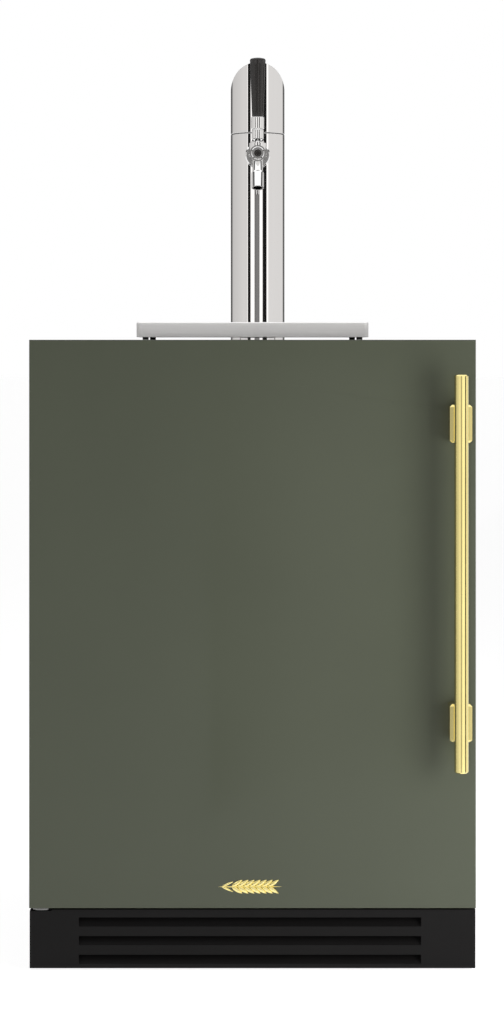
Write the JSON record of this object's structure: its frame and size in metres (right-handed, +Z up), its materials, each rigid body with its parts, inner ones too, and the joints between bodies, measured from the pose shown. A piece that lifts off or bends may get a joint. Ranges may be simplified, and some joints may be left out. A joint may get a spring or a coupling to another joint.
{
  "type": "kegerator",
  "caption": "Under-counter keg cooler with a hinged insulated door, bar handle, toe grille, draft tower with a lever faucet, and a lift-off drip tray.",
  "frame": {"origin": "on the floor, at the centre of the whole object's plan", "axes": "+Z up, the door faces -Y, and the door's hinges are on the -X side"},
  "size_m": [0.606, 0.662, 1.259],
  "materials": {
    "green_enamel": "satin",
    "brass_trim": "satin",
    "black_grille": "satin",
    "cabinet_steel": "satin",
    "zinc_steel": "satin",
    "foam": "matte",
    "liner_plastic": "satin",
    "gasket_rubber": "matte",
    "foot_rubber": "matte",
    "bush_plastic": "matte",
    "compressor_black": "satin",
    "coil_aluminium": "satin",
    "fan_plastic": "satin",
    "control_plastic": "satin",
    "button_plastic": "satin",
    "lamp_lens": "gloss",
    "tower_steel": "polished",
    "faucet_chrome": "polished",
    "brass_fitting": "satin",
    "handle_black": "gloss",
    "tray_steel": "satin",
    "cylinder_aluminium": "satin",
    "beer_hose": "gloss",
    "gas_hose": "satin"
  },
  "bodies": {
    "cabinet": {"cabinet_wrapper": "cabinet_steel", "insulation": "foam", "inner_liner": "liner_plastic", "rear_panel": "zinc_steel", "base_pan": "cabinet_steel", "kick_grille": "black_grille", "upper_hinge_bracket": "zinc_steel", "lower_hinge_bracket": "zinc_steel", "hinge_pins": "zinc_steel", "cabinet_screws": "zinc_steel", "compressor": "compressor_black", "condenser_coil": "coil_aluminium", "fan_shroud": "zinc_steel", "evaporator_cover": "liner_plastic", "evaporator_coil": "coil_aluminium", "control_panel": "control_plastic", "interior_lamp": "lamp_lens", "power_inlet": "control_plastic", "tower_column": "tower_steel", "tower_base_ring": "zinc_steel", "shank": "faucet_chrome", "shank_nut": "brass_fitting", "coupling_nut": "faucet_chrome", "faucet_body": "faucet_chrome", "front_plug": "faucet_chrome", "faucet_bonnet": "faucet_chrome", "beer_line": "beer_hose", "gas_line": "gas_hose", "co2_cylinder": "cylinder_aluminium", "regulator": "brass_fitting", "keg_coupler": "brass_fitting"},
    "door": {"door_skin": "green_enamel", "door_foam": "foam", "door_liner": "liner_plastic", "door_gasket": "gasket_rubber", "handle_bar": "brass_trim", "handle_posts": "brass_trim", "handle_screws": "zinc_steel", "badge": "brass_trim", "hinge_bushes": "bush_plastic"},
    "tap_lever": {"faucet_lever": "faucet_chrome", "lever_ferrule": "faucet_chrome", "tap_handle": "handle_black"},
    "valve_shaft": {"valve_shaft": "faucet_chrome"},
    "tower_cap": {"tower_cap": "tower_steel"},
    "drip_tray": {"drip_tray": "tray_steel", "tray_feet": "foot_rubber"},
    "drip_grate": {"drip_grate": "tray_steel"},
    "condenser_fan": {"condenser_fan": "fan_plastic"},
    "evaporator_fan": {"evaporator_fan": "fan_plastic"},
    "front_left_leg": {"front_left_leg": "zinc_steel"},
    "front_right_leg": {"front_right_leg": "zinc_steel"},
    "rear_left_leg": {"rear_left_leg": "zinc_steel"},
    "rear_right_leg": {"rear_right_leg": "zinc_steel"},
    "door_switch_plunger": {"door_switch_plunger": "control_plastic"},
    "warmer_button": {"warmer_button": "button_plastic"},
    "colder_button": {"colder_button": "button_plastic"},
    "cylinder_handwheel": {"cylinder_handwheel": "handle_black"},
    "regulator_knob": {"regulator_knob": "handle_black"},
    "coupler_handle": {"coupler_handle": "handle_black"}
  },
  "joints": [
    {"name": "door_hinge", "type": "hinge", "parent": "cabinet", "child": "door", "pos_m": [-0.287, -0.258, 0.47], "axis": [0, 0, 1], "range_deg": [-110, 0]},
    {"name": "tap_lever_tilt", "type": "hinge", "parent": "cabinet", "child": "tap_lever", "pos_m": [0.0075, -0.097, 1.138], "axis": [1, 0, 0], "range_deg": [0, 28]},
    {"name": "valve_shaft_slide", "type": "slide", "parent": "cabinet", "child": "valve_shaft", "axis": [0, 1, 0], "range_m": [0, 0.0088]},
    {"name": "tower_cap_lift", "type": "slide", "parent": "cabinet", "child": "tower_cap", "axis": [0, 0, 1], "range_m": [0, 0.06]},
    {"name": "drip_tray_lift", "type": "slide", "parent": "cabinet", "child": "drip_tray", "axis": [0, 0, 1], "range_m": [0, 0.1]},
    {"name": "drip_grate_lift", "type": "slide", "parent": "drip_tray", "child": "drip_grate", "axis": [0, 0, 1], "range_m": [0, 0.05]},
    {"name": "condenser_fan_spin", "type": "hinge", "parent": "cabinet", "child": "condenser_fan", "pos_m": [0.08, 0.252, 0.132], "axis": [1, 0, 0], "continuous": true},
    {"name": "evaporator_fan_spin", "type": "hinge", "parent": "cabinet", "child": "evaporator_fan", "pos_m": [-0.045, 0.246, 0.69], "axis": [0, 1, 0], "continuous": true},
    {"name": "front_left_leg_screw", "type": "slide", "parent": "cabinet", "child": "front_left_leg", "axis": [0, 0, -1], "range_m": [0, 0.02]},
    {"name": "front_right_leg_screw", "type": "slide", "parent": "cabinet", "child": "front_right_leg", "axis": [0, 0, -1], "range_m": [0, 0.02]},
    {"name": "rear_left_leg_screw", "type": "slide", "parent": "cabinet", "child": "rear_left_leg", "axis": [0, 0, -1], "range_m": [0, 0.02]},
    {"name": "rear_right_leg_screw", "type": "slide", "parent": "cabinet", "child": "rear_right_leg", "axis": [0, 0, -1], "range_m": [0, 0.02]},
    {"name": "door_switch_press", "type": "slide", "parent": "cabinet", "child": "door_switch_plunger", "axis": [0, 1, 0], "range_m": [0, 0.003], "stiffness_N_per_m": 200},
    {"name": "warmer_button_press", "type": "slide", "parent": "cabinet", "child": "warmer_button", "axis": [0, 1, 0], "range_m": [0, 0.0015], "stiffness_N_per_m": 400},
    {"name": "colder_button_press", "type": "slide", "parent": "cabinet", "child": "colder_button", "axis": [0, 1, 0], "range_m": [0, 0.0015], "stiffness_N_per_m": 400},
    {"name": "cylinder_handwheel_turn", "type": "hinge", "parent": "cabinet", "child": "cylinder_handwheel", "pos_m": [0.185, 0.058, 0.6], "axis": [0, 0, 1], "range_deg": [0, 540]},
    {"name": "regulator_knob_turn", "type": "hinge", "parent": "cabinet", "child": "regulator_knob", "pos_m": [0.185, -0.05, 0.5672], "axis": [0, 1, 0], "range_deg": [0, 720]},
    {"name": "coupler_handle_pull", "type": "hinge", "parent": "cabinet", "child": "coupler_handle", "pos_m": [0.181, -0.17, 0.591], "axis": [0, 1, 0], "range_deg": [-90, 0]}
  ],
  "couplings": [
    {"joint": "valve_shaft_slide", "follows": "tap_lever_tilt", "m_per_rad": 0.0174}
  ]
}
